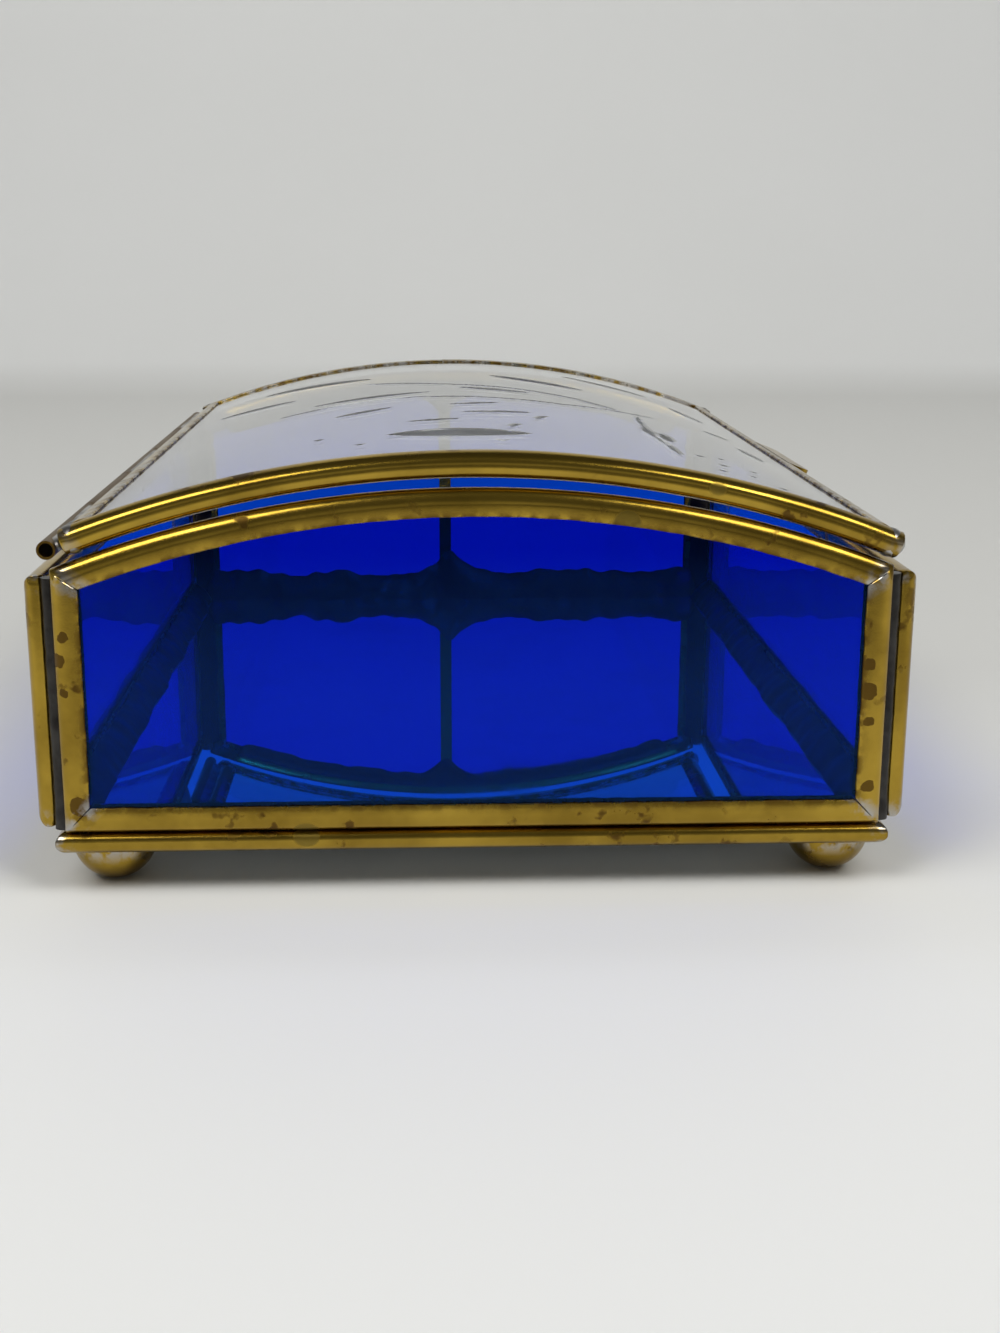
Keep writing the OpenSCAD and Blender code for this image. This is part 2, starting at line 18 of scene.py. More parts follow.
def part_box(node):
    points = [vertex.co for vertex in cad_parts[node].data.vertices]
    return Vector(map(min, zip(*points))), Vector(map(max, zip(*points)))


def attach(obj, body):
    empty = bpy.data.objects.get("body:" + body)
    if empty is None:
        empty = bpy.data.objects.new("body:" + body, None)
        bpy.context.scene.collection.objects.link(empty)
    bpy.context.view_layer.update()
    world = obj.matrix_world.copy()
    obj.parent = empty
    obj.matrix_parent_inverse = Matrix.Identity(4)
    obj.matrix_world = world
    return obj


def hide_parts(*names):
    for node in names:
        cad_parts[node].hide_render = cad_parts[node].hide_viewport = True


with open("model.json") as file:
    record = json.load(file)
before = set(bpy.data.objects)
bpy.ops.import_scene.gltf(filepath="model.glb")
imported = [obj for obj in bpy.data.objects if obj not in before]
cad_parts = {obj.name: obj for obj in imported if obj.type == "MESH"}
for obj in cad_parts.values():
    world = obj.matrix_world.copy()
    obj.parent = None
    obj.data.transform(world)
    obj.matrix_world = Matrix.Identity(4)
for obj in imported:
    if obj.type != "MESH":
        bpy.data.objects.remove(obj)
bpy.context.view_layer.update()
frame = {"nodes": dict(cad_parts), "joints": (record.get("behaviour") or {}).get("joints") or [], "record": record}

MM = 0.001
SIDES = {"left": -1, "right": 1}
ENDS = {"front": -1, "back": 1}

# Camera, fitted to the corners of the frame in the photograph
CAMERA_AT = (-7.15 * MM, -284.49 * MM, 84.46 * MM)
CAMERA_YAW = 2.77
CAMERA_DOWN = 14.44
CAMERA_ROLL = 0.22
FOCAL_PX = 1706.5
FRAME_PX = 1333
SENSOR = 36.0

# Sizes read from the CAD model
rail_low, rail_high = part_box("left_bottom_rail")
CHANNEL_T = rail_high.x - rail_low.x
CHANNEL_H = rail_high.z - rail_low.z
WALL_Z = rail_low.z
SIDE_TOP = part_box("left_top_rail")[1].z
SIDE_OUT_X = -rail_low.x
SIDE_IN_X = -rail_high.x
END_OUT_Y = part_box("back_sill")[1].y
END_IN_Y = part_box("back_sill")[0].y
BASE_OUT_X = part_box("base_rail_right")[1].x
BASE_OUT_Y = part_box("base_rail_back")[1].y
GLASS_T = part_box("left_glass")[1].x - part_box("left_glass")[0].x
FOOT_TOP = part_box("foot_front_left")[1].z

# Arch of the end walls: half width, height of its ends, radius and centre
END_HALF_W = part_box("back_post_right")[1].x
ARCH_END_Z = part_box("back_post_right")[1].z
ARCH_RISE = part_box("back_arch")[1].z - ARCH_END_Z
ARCH_R = (END_HALF_W ** 2 + ARCH_RISE ** 2) / (2 * ARCH_RISE)
ARCH_Z = ARCH_END_Z + ARCH_RISE - ARCH_R
OPENING_HALF_W = END_HALF_W - CHANNEL_H
OPENING_CORNER_Z = ARCH_Z + math.sqrt((ARCH_R - CHANNEL_H) ** 2 - OPENING_HALF_W ** 2)

# Brass channel
WALL = 0.45 * MM
PANE_PLAY = 0.1 * MM
SLOT = GLASS_T + PANE_PLAY
BACK_ROUND = 2.1 * MM
BACK_FLAT = 0.3 * MM
LIP_ROUND = 0.2 * MM
JOINT_GAP = 0.03 * MM

# Lid: a little more bowed than the arches, hung on the hinge and leaning to the opening side
LID_GLASS_T = 2.6 * MM
LID_T = LID_GLASS_T + PANE_PLAY + 2 * WALL
LID_HALF_W = 52.25 * MM
LID_GAP = 1.45 * MM
LID_BOW = 0.5 * MM
EVEN_R = ARCH_R + LID_GAP + LID_T / 2
LID_SAG = EVEN_R - math.sqrt(EVEN_R ** 2 - LID_HALF_W ** 2) + LID_BOW
LID_MID_R = (LID_HALF_W ** 2 + LID_SAG ** 2) / (2 * LID_SAG)
LID_EDGE_R = LID_MID_R - CHANNEL_H ** 2 / (4 * LID_MID_R)
LID_ANGLE = math.asin(LID_HALF_W / LID_MID_R)
LID_LEAN = math.radians(0.5)
HINGE = Vector(frame["joints"][0]["pos_m"])
TUBE_R = (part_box("hinge_tube_lid_front")[1].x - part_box("hinge_tube_lid_front")[0].x) / 2
TUBE_WALL = 0.31 * MM
BORE_R = TUBE_R - TUBE_WALL
HINGE_GAP = 0.95 * MM
HINGE_OUT = TUBE_R + HINGE_GAP
HINGE_EDGE = Vector((math.sin(LID_LEAN - LID_ANGLE), 0, math.cos(LID_LEAN - LID_ANGLE)))
LID_CENTRE = HINGE + Vector((HINGE_EDGE.z, 0, -HINGE_EDGE.x)) * HINGE_OUT - HINGE_EDGE * LID_EDGE_R
CAP_R = 1.9 * MM


# Small helpers

def wobble(*place):
    """Smooth noise from -1 to 1 at a place given in any units."""
    x, y, z = (list(place) + [0.0, 0.0])[:3]
    return noise.noise(Vector((x, y, z)))


def lerp(a, b, f):
    return a + (b - a) * f


def make_piece(name, verts, faces, material, body, nodes=(), sharp=35.0, marks=None):
    """A closed mesh that rides on a body and stands for CAD nodes. marks are point attributes."""
    mesh = bpy.data.meshes.new(name)
    mesh.from_pydata([tuple(v) for v in verts], [], faces)
    mesh.materials.append(material)
    for mark, values in (marks or {}).items():
        layer = mesh.attributes.new(mark, "FLOAT", "POINT")
        layer.data.foreach_set("value", np.asarray(values, np.float32))
    mesh.update()
    turn_outward(mesh)
    mesh.shade_smooth()
    mesh.set_sharp_from_angle(angle=math.radians(sharp))
    piece = bpy.data.objects.new(name, mesh)
    bpy.context.scene.collection.objects.link(piece)
    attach(piece, body)
    if nodes:
        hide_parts(*nodes)
    return piece


def turn_outward(mesh):
    """Makes the faces of a closed mesh look outward."""
    work = bmesh.new()
    work.from_mesh(mesh)
    bmesh.ops.recalc_face_normals(work, faces=work.faces)
    work.to_mesh(mesh)
    work.free()


def ring_faces(rings, points, first=0, closed=True):
    """Quads between rings of points, and between neighbours in each ring."""
    last = points if closed else points - 1
    return [
        (first + i * points + j, first + i * points + (j + 1) % points,
         first + (i + 1) * points + (j + 1) % points, first + (i + 1) * points + j)
        for i in range(rings - 1) for j in range(last)
    ]


def arc(centre, radius, start, end, steps):
    """Points of an arc about a centre, with angles in degrees."""
    out = []
    for i in range(steps + 1):
        a = math.radians(lerp(start, end, i / steps))
        out.append((centre[0] + radius * math.cos(a), centre[1] + radius * math.sin(a)))
    return out


# Materials

def new_material(name):
    material = bpy.data.materials.new(name)
    material.use_nodes = True
    tree = material.node_tree
    tree.nodes.clear()
    return material, tree


def put(tree, socket, value):
    """Links a socket to another socket, or sets it to a plain value."""
    if isinstance(value, bpy.types.NodeSocket):
        tree.links.new(value, socket)
    else:
        socket.default_value = value


def add(tree, kind, **inputs):
    """A shader node with some of its inputs set or linked. Names use _ for a space."""
    node = tree.nodes.new(kind)
    for key, value in inputs.items():
        put(tree, node.inputs[key.replace("_", " ")], value)
    return node


def place_of(tree):
    return tree.nodes.new("ShaderNodeTexCoord").outputs["Object"]


def mark_of(tree, name):
    node = tree.nodes.new("ShaderNodeAttribute")
    node.attribute_name = name
    return node.outputs["Fac"]


def noise_of(tree, place, scale, detail=3.0, roughness=0.55):
    return add(tree, "ShaderNodeTexNoise", Vector=place, Scale=scale, Detail=detail,
               Roughness=roughness).outputs["Fac"]


def ramp_of(tree, value, *stops):
    """A colour ramp through (place, grey or colour) stops."""
    node = tree.nodes.new("ShaderNodeValToRGB")
    tree.links.new(value, node.inputs["Fac"])
    elements = node.color_ramp.elements
    while len(elements) < len(stops):
        elements.new(0.5)
    for element, (at, colour) in zip(elements, stops):
        element.position = at
        element.color = (*colour, 1) if isinstance(colour, tuple) else (colour,) * 3 + (1,)
    return node.outputs["Color"]


def maths(tree, operation, a, b=0.0, c=0.0):
    node = tree.nodes.new("ShaderNodeMath")
    node.operation = operation
    for socket, value in zip(node.inputs, (a, b, c)):
        put(tree, socket, value)
    return node.outputs[0]


def mixed(tree, share, a, b):
    """Colour a where share is 0 and b where it is 1."""
    node = tree.nodes.new("ShaderNodeMix")
    node.data_type = "RGBA"
    for socket, value in ((node.inputs["Factor"], share), (node.inputs[6], a), (node.inputs[7], b)):
        put(tree, socket, (*value, 1) if isinstance(value, tuple) else value)
    return node.outputs[2]


def finish_material(tree, shader):
    tree.links.new(shader, tree.nodes.new("ShaderNodeOutputMaterial").inputs["Surface"])


def bump_of(tree, height, distance, strength=1.0):
    return add(tree, "ShaderNodeBump", Height=height, Distance=distance,
               Strength=strength).outputs["Normal"]


BRASS_BRIGHT = (0.43, 0.285, 0.04)
BRASS_AGED = (0.26, 0.165, 0.022)
BRASS_TARNISH = (0.10, 0.052, 0.012)
BRASS_DROP = (0.20, 0.145, 0.03)
SOLDER_GREY = (0.43, 0.42, 0.40)
SOLDER_DARK = (0.13, 0.12, 0.115)
SOLDER_BLACK = (0.015, 0.013, 0.012)


# Tarnish blots on the front: a place in X and Z and a radius, in mm
BLOTS = [
    (-51.6, 34.8, 0.75), (-52.4, 31.8, 0.95), (-51.8, 27.6, 0.6), (-50.7, 12.6, 1.3),
    (50.2, 30.5, 0.8), (50.3, 27.0, 1.1), (50.4, 23.0, 0.7), (50.9, 14.2, 0.9),
]


def blots_of(tree, place):
    """1 inside the ragged tarnish blots and 0 outside them."""
    parts = add(tree, "ShaderNodeSeparateXYZ", Vector=place)
    ragged = maths(tree, "MULTIPLY_ADD", noise_of(tree, place, 900, 2), 0.9 * MM, -0.45 * MM)
    found = 0.0
    for x, z, radius in BLOTS:
        dx = maths(tree, "SUBTRACT", parts.outputs["X"], x * MM)
        dz = maths(tree, "SUBTRACT", parts.outputs["Z"], z * MM)
        away = maths(tree, "SQRT", maths(tree, "ADD", maths(tree, "MULTIPLY", dx, dx),
                                         maths(tree, "MULTIPLY", dz, dz)))
        inside = maths(tree, "LESS_THAN", maths(tree, "ADD", away, ragged), radius * MM)
        found = maths(tree, "MAXIMUM", inside, found)
    front = maths(tree, "LESS_THAN", parts.outputs["Y"], -END_IN_Y)
    return maths(tree, "MULTIPLY", found, front)


def brass_material():
    """Old brass: worn bright, with darker patches, round spots, dark lips and soldered ends."""
    material, tree = new_material("brass")
    place = place_of(tree)
    patches = noise_of(tree, place, 75, 4, 0.6)
    spots = noise_of(tree, place, 330, 3, 0.5)
    grain = noise_of(tree, place, 3200, 2, 0.5)
    drops = tree.nodes.new("ShaderNodeTexVoronoi")
    drops.inputs["Scale"].default_value = 95
    tree.links.new(place, drops.inputs["Vector"])
    drop_kind = add(tree, "ShaderNodeSeparateColor", Color=drops.outputs["Color"]).outputs[0]
    drop_here = maths(tree, "MULTIPLY",
                      ramp_of(tree, drops.outputs["Distance"], (0.16, 1.0), (0.19, 0.0)),
                      ramp_of(tree, drop_kind, (0.70, 0.0), (0.72, 1.0)))
    tarnish = maths(tree, "MULTIPLY",
                    ramp_of(tree, spots, (0.60, 0.0), (0.66, 1.0)),
                    ramp_of(tree, patches, (0.44, 0.0), (0.58, 1.0)))
    lip = maths(tree, "MULTIPLY", mark_of(tree, "lip"),
                ramp_of(tree, noise_of(tree, place, 420, 3), (0.42, 0.0), (0.56, 1.0)))
    dark = maths(tree, "MAXIMUM", maths(tree, "MAXIMUM", tarnish, lip),
                 maths(tree, "MAXIMUM", mark_of(tree, "stain"), blots_of(tree, place)))
    colour = mixed(tree, ramp_of(tree, patches, (0.36, 0.0), (0.66, 1.0)), BRASS_BRIGHT, BRASS_AGED)
    colour = mixed(tree, maths(tree, "MULTIPLY", drop_here, 0.75), colour, BRASS_DROP)
    colour = mixed(tree, maths(tree, "MULTIPLY", dark, 0.85), colour, BRASS_TARNISH)
    smear = maths(tree, "MULTIPLY", mark_of(tree, "end"),
                  ramp_of(tree, noise_of(tree, place, 520, 3), (0.45, 0.0), (0.58, 1.0)))
    colour = mixed(tree, smear, colour, SOLDER_GREY)
    rough = maths(tree, "MULTIPLY_ADD", patches, 0.16, 0.10)
    rough = maths(tree, "MULTIPLY_ADD", grain, 0.06, rough)
    rough = maths(tree, "MULTIPLY_ADD", maths(tree, "MAXIMUM", dark, drop_here), 0.22, rough)
    height = maths(tree, "ADD", maths(tree, "MULTIPLY", noise_of(tree, place, 240, 2), 1.0),
                   maths(tree, "MULTIPLY", grain, 0.12))
    shader = add(tree, "ShaderNodeBsdfPrincipled", Base_Color=colour, Metallic=1.0,
                 Roughness=rough, Normal=bump_of(tree, height, 0.05 * MM, 0.6))
    finish_material(tree, shader.outputs[0])
    return material


def solder_material():
    """Grey solder mottled with darker patches, and black with flux where its black mark is set."""
    material, tree = new_material("solder")
    place = place_of(tree)
    clouds = noise_of(tree, place, 260, 4, 0.6)
    grain = noise_of(tree, place, 2400, 3, 0.6)
    colour = mixed(tree, ramp_of(tree, clouds, (0.40, 0.0), (0.68, 1.0)), SOLDER_GREY, SOLDER_DARK)
    colour = mixed(tree, mark_of(tree, "black"), colour, SOLDER_BLACK)
    rough = maths(tree, "MULTIPLY_ADD", clouds, 0.35, 0.18)
    height = maths(tree, "ADD", noise_of(tree, place, 700, 3), maths(tree, "MULTIPLY", grain, 0.2))
    shader = add(tree, "ShaderNodeBsdfPrincipled", Base_Color=colour, Metallic=1.0,
                 Roughness=rough, Normal=bump_of(tree, height, 0.08 * MM, 0.7))
    finish_material(tree, shader.outputs[0])
    return material


def pass_light(tree, glass, tint):
    """Glass that lamps and bounced light pass straight through, tinted once at each face."""
    clear = add(tree, "ShaderNodeBsdfTransparent", Color=(*(math.sqrt(c) for c in tint), 1))
    path = tree.nodes.new("ShaderNodeLightPath")
    straight = maths(tree, "MAXIMUM", path.outputs["Is Shadow Ray"], path.outputs["Is Diffuse Ray"])
    mix = tree.nodes.new("ShaderNodeMixShader")
    tree.links.new(straight, mix.inputs[0])
    tree.links.new(glass, mix.inputs[1])
    tree.links.new(clear.outputs[0], mix.inputs[2])
    return mix.outputs[0]


BLUE_TINT = (0.002, 0.070, 0.82)
BLUE_SHEEN = (0.10, 0.35, 1.0)
CLEAR_TINT = (0.93, 0.955, 0.96)


def blue_glass_material():
    """Hand-rolled blue glass: clear and deep, with a slow ripple and fine dust."""
    material, tree = new_material("cobalt_glass")
    place = place_of(tree)
    dust = ramp_of(tree, noise_of(tree, place, 900, 2), (0.60, 0.0), (0.72, 1.0))
    rough = maths(tree, "MULTIPLY_ADD", dust, 0.05, 0.005)
    ripple = noise_of(tree, place, 55, 1, 0.4)
    shader = add(tree, "ShaderNodeBsdfPrincipled", Base_Color=(*BLUE_TINT, 1), IOR=1.5,
                 Roughness=rough, Normal=bump_of(tree, ripple, 0.06 * MM, 0.5))
    shader.inputs["Specular Tint"].default_value = (*BLUE_SHEEN, 1)
    shader.inputs["Transmission Weight"].default_value = 1.0
    finish_material(tree, pass_light(tree, shader.outputs[0], BLUE_TINT))
    return material


def clear_glass_material():
    """Clear glass, frosted where the wheel has cut it."""
    material, tree = new_material("clear_glass")
    place = place_of(tree)
    cut = mark_of(tree, "cut")
    dust = ramp_of(tree, noise_of(tree, place, 700, 3), (0.60, 0.0), (0.75, 1.0))
    rough = maths(tree, "MULTIPLY_ADD", cut, 0.5, maths(tree, "MULTIPLY_ADD", dust, 0.04, 0.01))
    ripple = maths(tree, "ADD", noise_of(tree, place, 30, 1, 0.4),
                   maths(tree, "MULTIPLY", maths(tree, "MULTIPLY", cut,
                                                 noise_of(tree, place, 3000, 2)), 0.6))
    shader = add(tree, "ShaderNodeBsdfPrincipled", Base_Color=(*CLEAR_TINT, 1), IOR=1.5,
                 Roughness=rough, Normal=bump_of(tree, ripple, 0.05 * MM, 0.5))
    shader.inputs["Transmission Weight"].default_value = 1.0
    finish_material(tree, pass_light(tree, shader.outputs[0], CLEAR_TINT))
    return material


def mirror_material():
    """Silvered glass with faint smears."""
    material, tree = new_material("mirror")
    smears = noise_of(tree, place_of(tree), 60, 4, 0.6)
    colour = mixed(tree, ramp_of(tree, smears, (0.5, 0.0), (0.8, 1.0)),
                   (0.86, 0.89, 0.9), (0.74, 0.77, 0.78))
    rough = maths(tree, "MULTIPLY_ADD", ramp_of(tree, smears, (0.55, 0.0), (0.8, 1.0)), 0.05, 0.012)
    shader = add(tree, "ShaderNodeBsdfPrincipled", Base_Color=colour, Metallic=1.0, Roughness=rough)
    finish_material(tree, shader.outputs[0])
    return material


def pin_material():
    """Plain steel wire with dull patches."""
    material, tree = new_material("pin_steel")
    clouds = noise_of(tree, place_of(tree), 600, 3)
    colour = mixed(tree, clouds, (0.36, 0.36, 0.36), (0.2, 0.18, 0.16))
    shader = add(tree, "ShaderNodeBsdfPrincipled", Base_Color=colour, Metallic=1.0,
                 Roughness=maths(tree, "MULTIPLY_ADD", clouds, 0.3, 0.25))
    finish_material(tree, shader.outputs[0])
    return material


BRASS = brass_material()
SOLDER = solder_material()
BLUE_GLASS = blue_glass_material()
CLEAR_GLASS = clear_glass_material()
MIRROR = mirror_material()
PIN_STEEL = pin_material()

MATERIAL_OF_SLOT = {
    "brass": BRASS, "solder": SOLDER, "cobalt_glass": BLUE_GLASS,
    "clear_glass": CLEAR_GLASS, "mirror": MIRROR, "pin_steel": PIN_STEEL,
}


def dress_cad_nodes():
    """Gives every CAD node the material of its slot in the record."""
    for part in frame["record"]["subparts"]:
        node = frame["nodes"][part["node"]]
        node.data.materials.clear()
        node.data.materials.append(MATERIAL_OF_SLOT[part["material_slot"]])


# Brass channel

def half_back(start, half, steps):
    """Half of a rounded back, from its flank to the flat in its middle."""
    flat = BACK_FLAT / 2
    angles = [math.pi / 2 * i / steps for i in range(steps + 1)]
    return [(BACK_ROUND - (BACK_ROUND - start) * math.sin(a), flat + (half - flat) * math.cos(a))
            for a in angles]


def channel_profile():
    """Closed outline of the channel: depth from its back, and place across it.
    Its outer skin comes first, and the number of points in that is given too."""
    half, slot = CHANNEL_T / 2, SLOT / 2
    deep = CHANNEL_H - LIP_ROUND
    inner_round = 0.1 * MM
    side = (
        arc((deep, half - LIP_ROUND), LIP_ROUND, 0, 90, 4)
        + [(lerp(deep, BACK_ROUND, 0.5), half)] + half_back(0, half, 10)
    )
    inner = half_back(WALL, slot, 3)[::-1]
    inner += [(CHANNEL_H - inner_round, slot), (CHANNEL_H, slot + inner_round)]
    mirrored_side = [(h, -t) for h, t in reversed(side)]
    mirrored_inner = [(h, -t) for h, t in reversed(inner)]
    return side + mirrored_side + mirrored_inner + inner, 2 * len(side)


PROFILE, SKIN_POINTS = channel_profile()
PROFILE_CAP = tessellate_polygon([[Vector((h, t, 0)) for h, t in PROFILE]])
CHANNEL_STEP = 1.3 * MM
# Cut ends: how long their rounding is, and how far the skin is drawn in there
END_ROUND = 0.12 * MM
END_EASE = 0.07 * MM
# Waves in the skin and in the lips: their depth, and their length in mm
WAVE = 0.022 * MM
WAVE_LENGTH = 9
LIP_WAVE = 0.09 * MM
LIP_WAVE_LENGTH = 3.1
LIP_WAVE_REACH = 0.7 * MM
# How far the lips are pinched in towards the pane
PINCH = 0.14 * MM
# How far dark lips and soldered ends reach
DARK_LIP = 1.1 * MM
SMEAR_REACH = 2.6 * MM


def profile_normals():
    """Directions out of the metal at the points of the profile."""
    out = []
    count = len(PROFILE)
    for i in range(count):
        a, b = Vector(PROFILE[i - 1]), Vector(PROFILE[(i + 1) % count])
        along = (b - a).normalized()
        out.append(Vector((-along.y, along.x)))
    area = sum(PROFILE[i - 1][0] * PROFILE[i][1] - PROFILE[i][0] * PROFILE[i - 1][1]
               for i in range(count))
    sign = -1 if area > 0 else 1
    return [sign * n for n in out]


PROFILE_OUT = profile_normals()


def channel(name, body, place, start, end, length, smear=1.0, grey=0.0):
    """A length of channel. place(s, h, t) is the point s along it, h deep and t across.
    start(h) and end(h) are where it is cut, so that a mitre slants with the depth. smear is how
    much solder lies on its ends, and grey how much there is all along it."""
    steps = max(4, round(length / CHANNEL_STEP))
    edge = END_ROUND / length
    shares = [0.0, edge] + [i / steps for i in range(1, steps)] + [1 - edge, 1.0]
    seed = sum(ord(c) for c in name) * 0.37
    verts, lips, ends = [], [], []
    for share in shares:
        drawn_in = END_EASE if share in (0.0, 1.0) else 0.0
        run = share * length / MM
        to_end = min(share, 1 - share) * length
        for k, ((h, t), out) in enumerate(zip(PROFILE, PROFILE_OUT)):
            side = 1 if t > 0 else -1
            outer = k < SKIN_POINTS
            wave = WAVE * (wobble(run / WAVE_LENGTH, seed, side * 3 + h / MM) - 0.9) if outer else 0.0
            near_lip = max(0.0, 1 - (CHANNEL_H - h) / LIP_WAVE_REACH)
            ragged = LIP_WAVE * near_lip * (wobble(run / LIP_WAVE_LENGTH, seed + 9, side) - 0.6)
            flank = max(0.0, (h - BACK_ROUND) / (CHANNEL_H - BACK_ROUND)) if outer else 0.0
            hh = h + (wave - drawn_in) * out.x + ragged
            tt = t + (wave - drawn_in) * out.y - side * PINCH * flank
            s = lerp(start(h), end(h), share)
            verts.append(place(s, hh, tt))
            lips.append(max(0.0, 1 - (CHANNEL_H - h) / DARK_LIP) if outer else 1.0)
            ends.append(max(grey, smear * max(0.0, 1 - to_end / SMEAR_REACH)))
    count = len(PROFILE)
    faces = ring_faces(len(shares), count)
    last = (len(shares) - 1) * count
    faces += [tuple(tri) for tri in PROFILE_CAP] + [tuple(last + i for i in tri) for tri in PROFILE_CAP]
    return make_piece(name, verts, faces, BRASS, body, [name],
                      marks={"lip": lips, "end": ends})


def bar(name, body, origin, along, into, across, length, cut_start=None, cut_end=None, smear=1.0,
        grey=0.0):
    """A straight channel whose back starts at origin. The cuts give the mitre at a depth."""
    origin, along, into, across = map(Vector, (origin, along, into, across))
    start = cut_start or (lambda h: JOINT_GAP + h)
    end = cut_end or (lambda h: length - JOINT_GAP - h)

    def place(s, h, t):
        return origin + along * s + into * h + across * t

    return channel(name, body, place, start, end, length, smear, grey)


def base_frame():
    """Four mitred lengths that lie flat round the mirror."""
    z = FOOT_TOP + CHANNEL_T / 2
    for name, end in ENDS.items():
        bar(f"base_rail_{name}", "casket", (-BASE_OUT_X, end * BASE_OUT_Y, z), (1, 0, 0),
            (0, -end, 0), (0, 0, 1), 2 * BASE_OUT_X)
    for name, side in SIDES.items():
        bar(f"base_rail_{name}", "casket", (side * BASE_OUT_X, -BASE_OUT_Y, z), (0, 1, 0),
            (-side, 0, 0), (0, 0, 1), 2 * BASE_OUT_Y)


def side_frames():
    """Two rails and two posts round each side pane."""
    height = SIDE_TOP - WALL_Z
    for name, side in SIDES.items():
        x = side * (SIDE_OUT_X + SIDE_IN_X) / 2
        for row, z, up in (("bottom", WALL_Z, 1), ("top", SIDE_TOP, -1)):
            bar(f"{name}_{row}_rail", "casket", (x, -END_IN_Y, z), (0, 1, 0), (0, 0, up),
                (1, 0, 0), 2 * END_IN_Y)
        for where, end in ENDS.items():
            bar(f"{name}_post_{where}", "casket", (x, end * END_IN_Y, WALL_Z), (0, 0, 1),
                (0, -end, 0), (1, 0, 0), height)


def end_frames():
    """A sill, two posts and an arch round each end wall."""
    post_h = ARCH_END_Z - WALL_Z
    mitre = (ARCH_END_Z - OPENING_CORNER_Z) / CHANNEL_H
    outer = math.asin(END_HALF_W / ARCH_R)
    inner = math.asin(OPENING_HALF_W / (ARCH_R - CHANNEL_H))
    for name, end in ENDS.items():
        y = end * (END_OUT_Y + END_IN_Y) / 2
        bar(f"{name}_sill", "casket", (-END_HALF_W, y, WALL_Z), (1, 0, 0), (0, 0, 1),
            (0, 1, 0), 2 * END_HALF_W)
        for where, side in SIDES.items():
            bar(f"{name}_post_{where}", "casket", (side * END_HALF_W, y, WALL_Z), (0, 0, 1),
                (-side, 0, 0), (0, 1, 0), post_h,
                cut_end=lambda h: post_h - JOINT_GAP - h * mitre)

        def place(a, h, t, y=y):
            r = ARCH_R - h
            return Vector((r * math.sin(a), y + t, ARCH_Z + r * math.cos(a)))

        def cut(h):
            return lerp(outer, inner, h / CHANNEL_H)

        channel(f"{name}_arch", "casket", place, lambda h: -cut(h), cut, 2 * outer * ARCH_R)


def lid_way(angle):
    """Direction out of the lid's face, at an angle from its middle."""
    return Vector((math.sin(angle + LID_LEAN), 0, math.cos(angle + LID_LEAN)))


def lid_edge(side):
    """Back of the channel on one straight edge of the lid: a point, outward and upward."""
    up = lid_way(side * LID_ANGLE)
    return LID_CENTRE + up * LID_EDGE_R, side * Vector((up.z, 0, -up.x)), up


def lid_frame():
    """The lid's channel, which is the walls' channel stretched across to its thicker pane.
    It stays a little under its full thickness, so that its crown keeps inside the CAD model."""
    wider = (LID_T - 0.05 * MM) / CHANNEL_T
    for name, end in ENDS.items():
        def place(a, h, t, end=end):
            return (LID_CENTRE + lid_way(a) * (LID_MID_R + t * wider)
                    + Vector((0, end * (END_OUT_Y - h), 0)))

        channel(f"lid_arch_{name}", "lid", place, lambda h: -LID_ANGLE, lambda h: LID_ANGLE,
                2 * LID_ANGLE * LID_MID_R, 0.6, 0.0 if end < 0 else 0.8)
    half = END_OUT_Y - CHANNEL_H - JOINT_GAP
    for name, side in SIDES.items():
        at, out, up = lid_edge(side)
        bar(f"lid_rail_{name}", "lid", at - Vector((0, half, 0)), (0, 1, 0), -out, up * wider, 2 * half,
            lambda h: 0.0, lambda h: 2 * half, 0.4, 0.7)


# Solder

BEAD_STEP = 0.8 * MM
BEAD_ARC = 9


def bead_rings(points, leg_a, leg_b, rings, bulge=0.66):
    """Verts and faces of a bead: at each ring a corner point and a curved face between two legs."""
    verts = []
    for i in range(rings):
        f = i / (rings - 1)
        corner, a, b = points(f), leg_a(f), leg_b(f)
        verts.append(corner)
        for j in range(BEAD_ARC + 1):
            u = j / BEAD_ARC
            belly = (a + b) * bulge
            verts.append(corner + a * (1 - u) ** 2 + belly * 2 * u * (1 - u) + b * u ** 2)
    count = BEAD_ARC + 2
    faces = ring_faces(rings, count)
    faces += [tuple(range(count)), tuple((rings - 1) * count + j for j in range(count))]
    return verts, faces


def swell(run, seed, depth=0.22):
    """How a bead swells along its run, which is given in metres."""
    slow, quick = wobble(run / (11 * MM), seed), wobble(run / (3.2 * MM), seed + 5)
    return 1 + depth * (0.9 * slow + 0.45 * quick)


def taper(f, length, over=2.5 * MM):
    """1 along a bead, falling smoothly to a small value at its two ends."""
    d = min(f, 1 - f) * length / over
    return 0.12 + 0.88 * math.sqrt(min(1.0, d))


def lump(d, width):
    """1 at a place, falling to nothing past its width."""
    return math.exp(-(d / width) ** 2)


def straight_bead(name, start, end, leg_a, leg_b, seed, rise=None, wave=0.22):
    """A wavy bead between two walls, with its legs along them."""
    start, end, leg_a, leg_b = map(Vector, (start, end, leg_a, leg_b))
    length = (end - start).length
    rings = max(8, round(length / BEAD_STEP))

    def leg(base, shift):
        return lambda f: base * swell(f * length, seed + shift, wave) * taper(f, length)

    b_leg = leg(leg_b, 30)
    tall = (lambda f: b_leg(f) * (1 + rise(f * length))) if rise else b_leg
    verts, faces = bead_rings(lambda f: start.lerp(end, f), leg(leg_a, 0), tall, rings)
    return make_piece(name, verts, faces, SOLDER, "casket", [name], sharp=60,
                      marks={"black": [1.0] * len(verts)})


